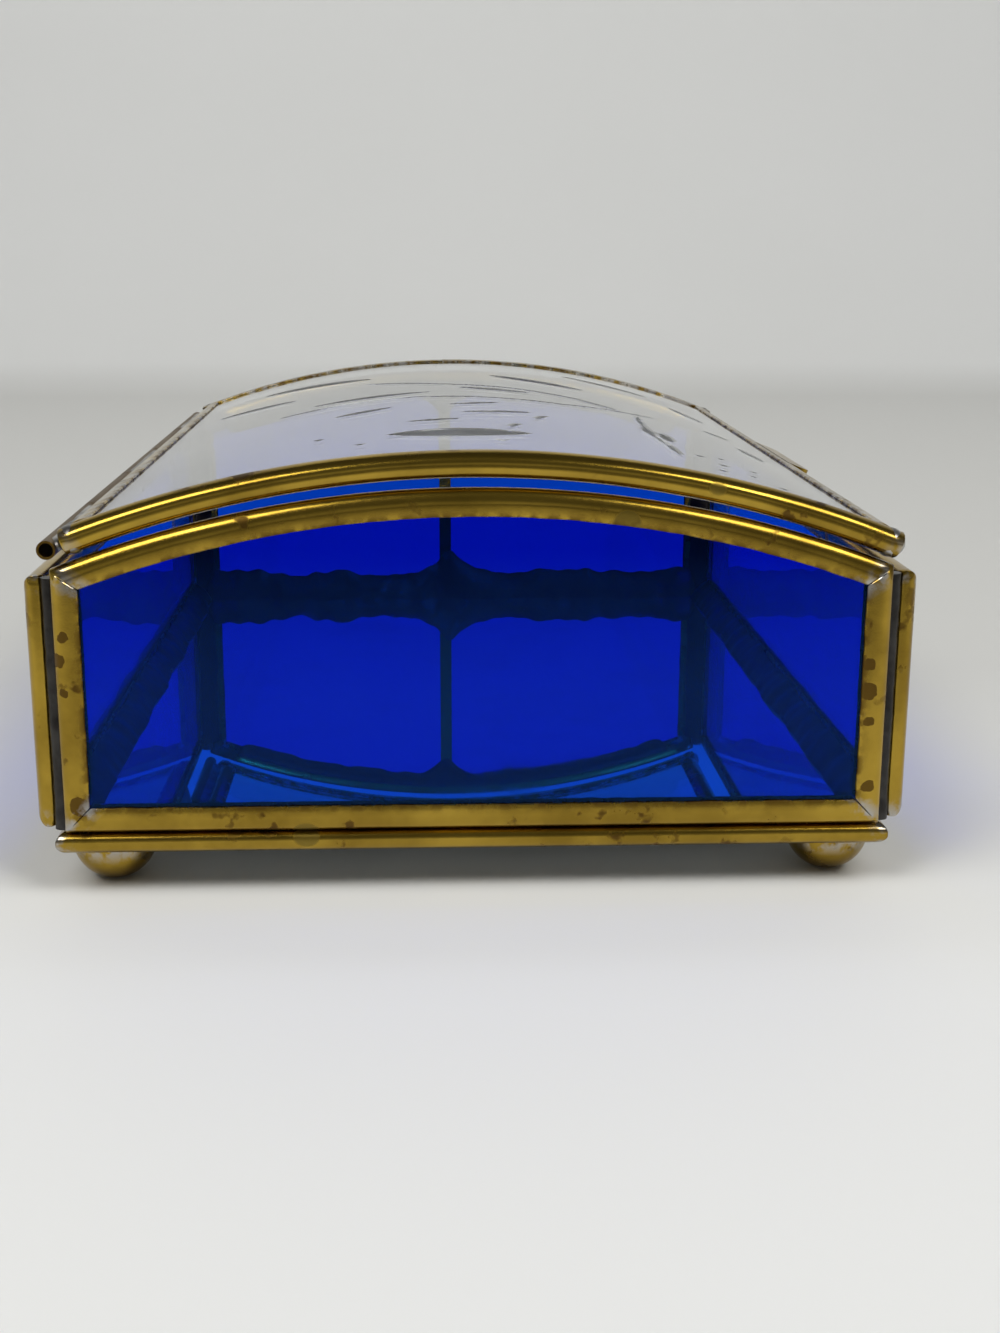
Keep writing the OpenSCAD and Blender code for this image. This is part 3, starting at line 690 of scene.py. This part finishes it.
BEAD_REACH = 3.3 * MM
BEAD_H = 3.5 * MM
BACK_BEAD_H = 5.4 * MM
MULLION_X = (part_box("back_mullion")[0].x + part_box("back_mullion")[1].x) / 2


def floor_beads():
    """Beads between the walls and the floor. The back one rises under the upright bar."""
    stop = 0.6 * MM
    half_x, half_y = SIDE_IN_X - stop, END_IN_Y - stop
    z = WALL_Z - 0.5 * MM
    for name, end in ENDS.items():
        back = end > 0
        height = BACK_BEAD_H if back else BEAD_H

        def rise(run):
            return 0.75 * lump(run - half_x - MULLION_X, 3.6 * MM)

        straight_bead(f"floor_bead_{name}", (-half_x, end * END_IN_Y, z), (half_x, end * END_IN_Y, z),
                      (0, -end * BEAD_REACH, 0), (0, 0, height), 3.3 + end,
                      rise if back else None, 0.42 if back else 0.25)
    for name, side in SIDES.items():
        straight_bead(f"floor_bead_{name}", (side * SIDE_IN_X, -half_y, z),
                      (side * SIDE_IN_X, half_y, z), (-side * BEAD_REACH, 0, 0), (0, 0, BEAD_H),
                      8.1 + side)


SEAM_R = 1.16 * MM
CORNER_GAP = SIDE_IN_X - END_HALF_W
SEAM_SIDES = 14


def corner_seams():
    """Each upright corner: a ragged seam in the outer notch and a wavy bead inside."""
    top = SIDE_TOP - 0.2 * MM
    rings = 60
    for end_name, end in ENDS.items():
        for side_name, side in SIDES.items():
            seed = 20 + 3 * end + side
            centre = Vector((side * (SIDE_IN_X - CORNER_GAP / 2), end * END_IN_Y, 0))
            verts = []
            for i in range(rings):
                f = i / (rings - 1)
                z = lerp(WALL_Z, top, f)
                ragged = 1 + 0.10 * wobble(z / (4 * MM), seed) + 0.35 * lump(f, 0.05)
                for j in range(SEAM_SIDES):
                    a = 2 * math.pi * j / SEAM_SIDES
                    r = SEAM_R * min(1.08, ragged) * (1 + 0.05 * wobble(z / (1.5 * MM), j, seed))
                    verts.append(centre + Vector((r * math.cos(a), r * math.sin(a), z)))
            faces = ring_faces(rings, SEAM_SIDES)
            faces += [tuple(range(SEAM_SIDES)),
                      tuple((rings - 1) * SEAM_SIDES + j for j in range(SEAM_SIDES))]
            corner = Vector((side * SIDE_IN_X, end * END_IN_Y, WALL_Z))
            height = top - WALL_Z - 1.9 * MM
            more, more_faces = bead_rings(
                lambda f: corner + Vector((0, 0, f * height)),
                lambda f: Vector((-side * 3.1 * MM, 0, 0)) * swell(f * height, seed, 0.26),
                lambda f: Vector((0, -end * 3.1 * MM, 0)) * swell(f * height, seed + 7, 0.26),
                44)
            faces += [tuple(len(verts) + k for k in face) for face in more_faces]
            name = f"seam_{end_name}_{side_name}"
            black = [0.9] * len(verts) + [1.0] * len(more)
            make_piece(name, verts + more, faces, SOLDER, "casket", [name], sharp=60,
                       marks={"black": black})


def back_arch_bead():
    """Solder on the inner face of the back arch, which hangs in waves below the channel."""
    inner_r = ARCH_R - CHANNEL_H
    half = math.asin((OPENING_HALF_W - 3 * MM) / inner_r)
    length = 2 * half * inner_r
    rings = 120
    verts = []
    for i in range(rings):
        f = i / (rings - 1)
        a = lerp(-half, half, f)
        out = Vector((math.sin(a), 0, math.cos(a)))
        run = f * length
        hang = 1.7 * MM * (swell(run, 51, 0.6) + 2.0 * lump(a * inner_r - MULLION_X, 3 * MM))
        thick = 0.95 * MM * swell(run, 57, 0.2) * taper(f, length)
        edge = Vector((0, END_IN_Y, ARCH_Z)) + out * inner_r
        root, tip = CHANNEL_H - BACK_ROUND, -hang * taper(f, length)
        verts += [edge + out * root, edge + out * tip]
        for j in range(1, BEAD_ARC):
            u = j / BEAD_ARC
            inward = Vector((0, -thick * math.sin(math.pi * u) ** 0.6, 0))
            verts.append(edge + out * lerp(tip, root, u) + inward)
    count = BEAD_ARC + 1
    faces = ring_faces(rings, count)
    faces += [tuple(range(count)), tuple((rings - 1) * count + j for j in range(count))]
    make_piece("back_arch_bead", verts, faces, SOLDER, "casket", ["back_arch_bead"],
               sharp=60, marks={"black": [1.0] * len(verts)})


def blob(verts, faces, centre, radii, seed, rough=0.10, turn=None):
    """Adds a lumpy ball of solder to a mesh in the making."""
    rows, columns = 16, 24
    first = len(verts)
    turn = turn or Matrix.Identity(3)
    for i in range(rows + 1):
        polar = math.pi * i / rows
        for j in range(columns):
            a = 2 * math.pi * j / columns
            d = Vector((math.sin(polar) * math.cos(a), math.sin(polar) * math.sin(a), math.cos(polar)))
            r = 1 + rough * wobble(*(d * 1.6 + Vector((seed, seed, 0))))
            p = Vector((d.x * radii[0], d.y * radii[1], d.z * radii[2])) * r
            verts.append(Vector(centre) + turn @ p)
    faces += ring_faces(rows + 1, columns, first)


def merge_poles(piece):
    """Joins the points that lie on top of each other at the poles of a round shape."""
    work = bmesh.new()
    work.from_mesh(piece.data)
    bmesh.ops.remove_doubles(work, verts=work.verts, dist=0.002 * MM)
    work.to_mesh(piece.data)
    work.free()
    return piece


def lid_corners():
    """Solder caps on the lid's four corners."""
    verts, faces = [], []
    for end in ENDS.values():
        for side in SIDES.values():
            at, out, up = lid_edge(side)
            centre = at + out * (-1.2 * MM) + Vector((0, end * (END_OUT_Y - CAP_R), 0))
            turn = Matrix((out, Vector((0, 1, 0)), up)).transposed()
            blob(verts, faces, centre, (CAP_R, CAP_R * 0.98, CAP_R * 0.99), 3 * end + side, 0.05, turn)
    merge_poles(make_piece("lid_corner_solder", verts, faces, SOLDER, "lid",
                           ["lid_corner_solder"], sharp=60))


# Hinge

KNUCKLES = {
    "hinge_tube_lid_front": "lid", "hinge_tube_body_front": "casket",
    "hinge_tube_lid_middle": "lid", "hinge_tube_body_back": "casket",
    "hinge_tube_lid_back": "lid",
}


def hinge_tubes():
    """Lengths of drawn tube with their sawn ends eased."""
    ease = 0.06 * MM
    sides = 40
    for name, body in KNUCKLES.items():
        low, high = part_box(name)
        rings = [
            (low.y, BORE_R + ease), (low.y, TUBE_R - ease), (low.y + ease, TUBE_R),
            (high.y - ease, TUBE_R), (high.y, TUBE_R - ease), (high.y, BORE_R + ease),
            (high.y - ease, BORE_R), (low.y + ease, BORE_R),
        ]
        verts = []
        for y, r in rings:
            for j in range(sides):
                a = 2 * math.pi * j / sides
                verts.append(Vector((HINGE.x + r * math.cos(a), y, HINGE.z + r * math.sin(a))))
        faces = ring_faces(len(rings), sides)
        faces += [((len(rings) - 1) * sides + j, (len(rings) - 1) * sides + (j + 1) % sides,
                   (j + 1) % sides, j) for j in range(sides)]
        make_piece(name, verts, faces, BRASS, body, [name], sharp=30,
                   marks={"stain": [1.0] * len(verts)})


def hinge_strip(verts, faces, low, high, outline, seed):
    """Adds a strip of solder along Y. outline(wave) gives its section in X and Z."""
    rings = max(6, round((high - low) / BEAD_STEP))
    first = len(verts)
    for i in range(rings):
        f = i / (rings - 1)
        y = lerp(low, high, f)
        section = outline(swell(y, seed, 0.16) * taper(f, high - low, 1.5 * MM))
        verts += [Vector((x, y, z)) for x, z in section]
    count = len(section)
    faces += ring_faces(rings, count, first)
    faces += [tuple(first + j for j in range(count)),
              tuple(first + (rings - 1) * count + j for j in range(count))]


def hinge_solder():
    """Solder from the tube to the lid's edge on its knuckles, and to the side wall on the others."""
    at, out, up = lid_edge(-1)
    lid_verts, lid_faces, body_verts, body_faces = [], [], [], []

    def to_lid(wave):
        root = (-0.8 * MM, 1.15 * MM * wave)
        waist = (0.35 * MM, 0.62 * MM * wave)
        tip = (HINGE_OUT - 0.55 * TUBE_R, 0.85 * TUBE_R * wave)
        points = [at + out * reach + up * half for reach, half in (root, waist, tip)]
        points += [at + out * reach - up * half for reach, half in (tip, waist, root)]
        return [(p.x, p.z) for p in points]

    def to_wall(wave):
        mid_x = -(SIDE_OUT_X + SIDE_IN_X) / 2
        return [
            (mid_x - 0.75 * MM * wave, SIDE_TOP - 0.3 * MM),
            (HINGE.x - TUBE_R * (0.55 + 0.5 * wave), HINGE.z - 0.55 * TUBE_R),
            (HINGE.x - TUBE_R * 0.5, HINGE.z + 0.1 * TUBE_R),
            (HINGE.x + TUBE_R * 0.5 * wave, HINGE.z - 0.7 * TUBE_R),
            (-SIDE_IN_X - 0.1 * MM, SIDE_TOP - 1.6 * MM),
        ]

    for i, (name, body) in enumerate(KNUCKLES.items()):
        low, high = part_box(name)
        if body == "lid":
            hinge_strip(lid_verts, lid_faces, low.y + 0.8 * MM, high.y - 0.8 * MM, to_lid, 61 + i)
        else:
            hinge_strip(body_verts, body_faces, low.y + 2 * MM, high.y - 2 * MM, to_wall, 61 + i)
    make_piece("hinge_solder_lid", lid_verts, lid_faces, SOLDER, "lid",
               ["hinge_solder_lid"], sharp=60)
    make_piece("hinge_solder_body", body_verts, body_faces, SOLDER, "casket",
               ["hinge_solder_body"], sharp=60)


# Feet

def feet():
    """Pressed brass domes with a worn flat and a solder collar."""
    for node in [n for n in frame["nodes"] if n.startswith("foot_") and n != "foot_solder"]:
        low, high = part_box(node)
        centre = (low + high) / 2
        radius = (high.x - low.x) / 2
        flat = math.sqrt(radius ** 2 - FOOT_TOP ** 2)
        outline = [(0.0, 0.0), (flat * 0.8, 0.0)]
        start = math.asin(flat / radius)
        for i in range(25):
            a = lerp(start, math.radians(86), i / 24)
            outline.append((radius * math.sin(a), FOOT_TOP - radius * math.cos(a)))
        outline += [(radius * 0.985, FOOT_TOP - 0.05 * MM), (0.0, FOOT_TOP - 0.05 * MM)]
        sides = 48
        verts, ends = [], []
        for r, z in outline:
            for j in range(sides):
                a = 2 * math.pi * j / sides
                dent = 1 + 0.006 * wobble(math.cos(a) * 2, math.sin(a) * 2, z / (2 * MM) + centre.x * 50)
                x, y = centre.x + r * dent * math.cos(a), centre.y + r * dent * math.sin(a)
                verts.append(Vector((x, y, z)))
                ends.append(max(0.0, 1 - (FOOT_TOP - z) / (2.4 * MM)))
        merge_poles(make_piece(node, verts, ring_faces(len(outline), sides), BRASS, "casket",
                               [node], sharp=50, marks={"end": ends}))


# Lid pane

PANE_IN = END_OUT_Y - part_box("lid_glass")[1].y
LID_GRID = 0.4 * MM


def lid_pane():
    """The curved pane, with its wheel-cut spray sunk into the outer face."""
    half_angle = LID_ANGLE - math.asin(PANE_IN / LID_MID_R)
    half_y = END_OUT_Y - PANE_IN
    step = LID_GRID
    across = round(2 * half_angle * LID_MID_R / step)
    along = round(2 * half_y / step)
    angle = np.linspace(-half_angle, half_angle, across + 1)
    y = np.linspace(-half_y, half_y, along + 1)
    grid_a, grid_y = np.meshgrid(angle, y, indexing="ij")
    depth, cut = engraving(grid_a * LID_MID_R / MM, grid_y / MM)
    outer = LID_MID_R + LID_GLASS_T / 2 - depth * MM
    inner = np.full_like(outer, LID_MID_R - LID_GLASS_T / 2)
    verts, marks = [], []
    for radius, mark in ((outer, cut), (inner, np.zeros_like(cut))):
        xyz = np.stack([LID_CENTRE.x + radius * np.sin(grid_a + LID_LEAN), grid_y,
                        LID_CENTRE.z + radius * np.cos(grid_a + LID_LEAN)], -1)
        verts += xyz.reshape(-1, 3).tolist()
        marks += mark.ravel().tolist()
    columns, rows = along + 1, across + 1
    top = ring_faces(rows, columns, 0, closed=False)
    under = rows * columns
    faces = top + [tuple(under + i for i in reversed(face)) for face in top]
    rim = (
        [i * columns for i in range(rows)]
        + [(rows - 1) * columns + j for j in range(1, columns)]
        + [i * columns + columns - 1 for i in range(rows - 2, -1, -1)]
        + list(range(columns - 2, 0, -1))
    )
    for a, b in zip(rim, rim[1:] + rim[:1]):
        faces.append((a, b, under + b, under + a))
    make_piece("lid_glass", verts, faces, CLEAR_GLASS, "lid", ["lid_glass"],
               sharp=50, marks={"cut": marks})


# Wheel-cut leaves on the lid: two ends in mm from the crown's middle, width and depth
LEAVES = [
    ((-12.2, -50.8), (6.5, -51.8), 9.0, 0.30),
    ((-10.0, -36.3), (-2.5, -34.4), 1.3, 0.22),
    ((-1.8, -25.0), (8.6, -23.3), 2.0, 0.25),
    ((-3.6, -13.6), (4.4, -10.4), 1.7, 0.25),
    ((-1.2, 15.8), (10.3, 10.2), 2.6, 0.25),
    ((5.1, 41.6), (21.5, 28.8), 4.0, 0.28),
    ((-25.6, 3.2), (-6.6, 8.0), 2.6, 0.25),
    ((-20.8, -20.6), (-12.5, -14.2), 2.0, 0.22),
    ((-37.6, 48.3), (-17.2, 42.0), 4.6, 0.28),
    ((-44.0, 24.0), (-30.0, 21.0), 3.0, 0.25),
    ((28.2, -27.6), (28.2, -38.0), 2.0, 0.22),
    ((25.8, -24.2), (26.3, -32.6), 1.8, 0.22),
    ((38.5, 34.8), (42.6, 20.0), 1.6, 0.22),
    ((39.3, -0.4), (42.6, -5.0), 1.2, 0.2),
    ((42.2, -17.3), (44.2, -28.6), 1.4, 0.2),
    ((20.0, 56.0), (36.0, 48.0), 2.6, 0.22),
]
# Fine stems: runs of points, cut at one width
STEMS = [
    [(15.1, -5.1), (21.0, -3.4), (26.1, -2.6), (30.3, -2.2)],
    [(27.4, -6.2), (26.6, -12.0), (26.4, -18.2), (26.1, -29.8), (26.9, -43.1), (27.3, -52.9)],
    [(-16.0, 30.0), (-4.0, 22.0), (8.0, 17.0), (18.0, 9.0), (24.0, 0.0)],
    [(-30.0, -6.0), (-20.0, -2.0), (-8.0, 0.0), (4.0, -2.0), (15.1, -5.1)],
]
STEM_W = 0.9
# Small nicks: middle and length
NICKS = [
    ((9.8, -29.4), 4.6), ((5.2, -42.1), 4.4), ((2.5, -60.3), 1.4), ((-16.0, -59.0), 1.2),
    ((-22.0, -48.0), 1.2), ((30.5, -50.0), 1.3), ((33.0, -55.5), 1.2), ((36.0, -61.0), 1.3),
    ((39.0, -66.5), 1.2), ((34.0, -47.0), 1.0), ((37.5, -54.0), 1.1), ((31.5, -63.0), 1.0),
]


def groove(x, y, start, end, width, depth):
    """Depth and cover of a pointed leaf-shaped cut between two points, in mm."""
    sx, sy = start
    dx, dy = end[0] - sx, end[1] - sy
    length = math.hypot(dx, dy)
    u = ((x - sx) * dx + (y - sy) * dy) / length ** 2
    v = np.abs((x - sx) * dy - (y - sy) * dx) / length
    half = width / 2 * np.sin(np.pi * np.clip(u, 0, 1)) ** 0.8
    inside = np.clip(1 - v / np.maximum(half, 1e-6), 0, 1) * (u > 0) * (u < 1)
    return depth * np.sqrt(inside), np.clip(inside * 5, 0, 1)


def engraving(x, y):
    """Depth in mm and frosted share of the whole spray, over the lid's outer face."""
    depth, cut = np.zeros_like(x), np.zeros_like(x)

    def take(found):
        np.maximum(depth, found[0], out=depth)
        np.maximum(cut, found[1], out=cut)

    for start, end, width, deep in LEAVES:
        take(groove(x, y, start, end, width, deep))
    for stem in STEMS:
        for start, end in zip(stem, stem[1:]):
            reach = [(b - a) * 0.12 for a, b in zip(start, end)]
            longer = [(a - r) for a, r in zip(start, reach)], [(b + r) for b, r in zip(end, reach)]
            take(groove(x, y, *longer, STEM_W, 0.15))
    for (mx, my), length in NICKS:
        take(groove(x, y, (mx - length / 6, my - length / 2), (mx + length / 6, my + length / 2), 0.8, 0.15))
    return depth, cut


# Studio

def light(name, at, toward, size, power, colour, mirrored=True):
    """A rectangular lamp. Where mirrored is off, metal and glass don't reflect it."""
    lamp = bpy.data.lights.new(name, "AREA")
    lamp.shape = "RECTANGLE"
    lamp.size, lamp.size_y = size
    lamp.energy = power
    lamp.color = colour
    obj = bpy.data.objects.new(name, lamp)
    obj.location = at
    obj.rotation_mode = "QUATERNION"
    obj.rotation_quaternion = (Vector(toward) - Vector(at)).to_track_quat("-Z", "Y")
    obj.visible_camera = False
    obj.visible_glossy = mirrored
    bpy.context.scene.collection.objects.link(obj)


WARM = (1, 0.985, 0.96)


def studio():
    """Two soft lamps that light the floor, two that streak the brass, and a dim room around."""
    for name, side in SIDES.items():
        light(f"softbox_{name}", (side * 0.75, -0.55, 1.45), (0, 0, 0), (0.7, 1.0), 9.5, WARM, False)
    light("glint_left", (-0.74, -0.88, 1.31), (0, 0, 0), (0.80, 0.46), 7.5, WARM)
    light("glint_right", (0.86, -0.82, 1.31), (0, 0, 0), (0.80, 0.46), 7.5, WARM)
    light("wall_wash", (0.0, 0.5, 1.5), (0, 1.35, 0.5), (1.6, 0.4), 3.0, (1, 1, 1), False)
    world = bpy.data.worlds.new("studio")
    world.use_nodes = True
    tree = world.node_tree
    tree.nodes.clear()
    way = tree.nodes.new("ShaderNodeTexCoord").outputs["Generated"]
    height = add(tree, "ShaderNodeSeparateXYZ", Vector=way).outputs["Z"]
    room = ramp_of(tree, height, (0.0, (0.36, 0.36, 0.355)), (0.12, (0.34, 0.34, 0.335)),
                   (0.30, (0.12, 0.12, 0.12)), (1.0, (0.07, 0.07, 0.073)))
    path = tree.nodes.new("ShaderNodeLightPath")
    seen = maths(tree, "MAXIMUM", path.outputs["Is Camera Ray"], path.outputs["Is Transmission Ray"])
    colour = mixed(tree, seen, room, (0.58, 0.59, 0.57))
    background = add(tree, "ShaderNodeBackground", Color=colour, Strength=1.0)
    tree.links.new(background.outputs[0], tree.nodes.new("ShaderNodeOutputWorld").inputs["Surface"])
    bpy.context.scene.world = world


def backdrop():
    """A pale sweep: a floor that curves up into a wall far behind."""
    material, tree = new_material("backdrop")
    place = place_of(tree)
    clouds = noise_of(tree, place, 3, 2)
    colour = mixed(tree, clouds, (0.70, 0.71, 0.70), (0.74, 0.75, 0.745))
    parts = add(tree, "ShaderNodeSeparateXYZ", Vector=place)
    # Painted shade: the floor beside and behind the box is painted a little darker grey than the floor before it
    beyond = maths(tree, "ADD", parts.outputs["Y"], 0.2)
    painted_shade = ramp_of(tree, beyond, (0.09, 0.0), (0.24, 1.0), (0.80, 1.0), (1.0, 0.0))
    colour = mixed(tree, painted_shade, colour, (0.545, 0.55, 0.535))
    # Painted reflection: glossy rays see the floor in front of the box painted dark, so the brass mirrors a dim
    # room in place of the floor there
    ahead = maths(tree, "MULTIPLY", parts.outputs["Y"], -1.0)
    path = tree.nodes.new("ShaderNodeLightPath")
    dim = maths(tree, "MULTIPLY", ramp_of(tree, ahead, (0.17, 0.0), (0.32, 1.0)),
                path.outputs["Is Glossy Ray"])
    colour = mixed(tree, dim, colour, (0.10, 0.095, 0.09))
    shader = add(tree, "ShaderNodeBsdfPrincipled", Base_Color=colour, Roughness=0.6)
    shader.inputs["Specular IOR Level"].default_value = 0.25
    finish_material(tree, shader.outputs[0])
    half, near, bend_at, bend_r, top = 3.0, -2.5, 0.75, 0.6, 2.2
    line = [(near, 0.0), (-0.5, 0.0), (bend_at, 0.0)]
    line += [(y, z) for y, z in arc((bend_at, bend_r), bend_r, -90, 0, 24)][1:]
    line += [(bend_at + bend_r, top)]
    verts = [(x, y, z) for y, z in line for x in (-half, half)]
    faces = [(2 * i, 2 * i + 1, 2 * i + 3, 2 * i + 2) for i in range(len(line) - 1)]
    mesh = bpy.data.meshes.new("backdrop")
    mesh.from_pydata(verts, [], faces)
    mesh.materials.append(material)
    mesh.shade_smooth()
    sweep = bpy.data.objects.new("backdrop", mesh)
    bpy.context.scene.collection.objects.link(sweep)


def camera():
    """The photograph's view."""
    yaw, down, roll = map(math.radians, (CAMERA_YAW, CAMERA_DOWN, CAMERA_ROLL))
    forward = Vector((math.sin(yaw) * math.cos(down), math.cos(yaw) * math.cos(down), -math.sin(down)))
    level = Vector((math.cos(yaw), -math.sin(yaw), 0))
    up = level.cross(forward)
    right = level * math.cos(roll) + up * math.sin(roll)
    top = up * math.cos(roll) - level * math.sin(roll)
    data = bpy.data.cameras.new("camera")
    data.sensor_width = SENSOR
    data.lens = FOCAL_PX * SENSOR / FRAME_PX
    data.clip_start, data.clip_end = 0.01, 50
    obj = bpy.data.objects.new("camera", data)
    obj.matrix_world = Matrix.Translation(CAMERA_AT) @ Matrix((right, top, -forward)).transposed().to_4x4()
    bpy.context.scene.collection.objects.link(obj)
    bpy.context.scene.camera = obj


camera()
studio()
backdrop()
dress_cad_nodes()
base_frame()
side_frames()
end_frames()
lid_frame()
floor_beads()
corner_seams()
back_arch_bead()
lid_corners()
hinge_tubes()
hinge_solder()
feet()
lid_pane()

scene = bpy.context.scene
scene.view_settings.view_transform = "Standard"
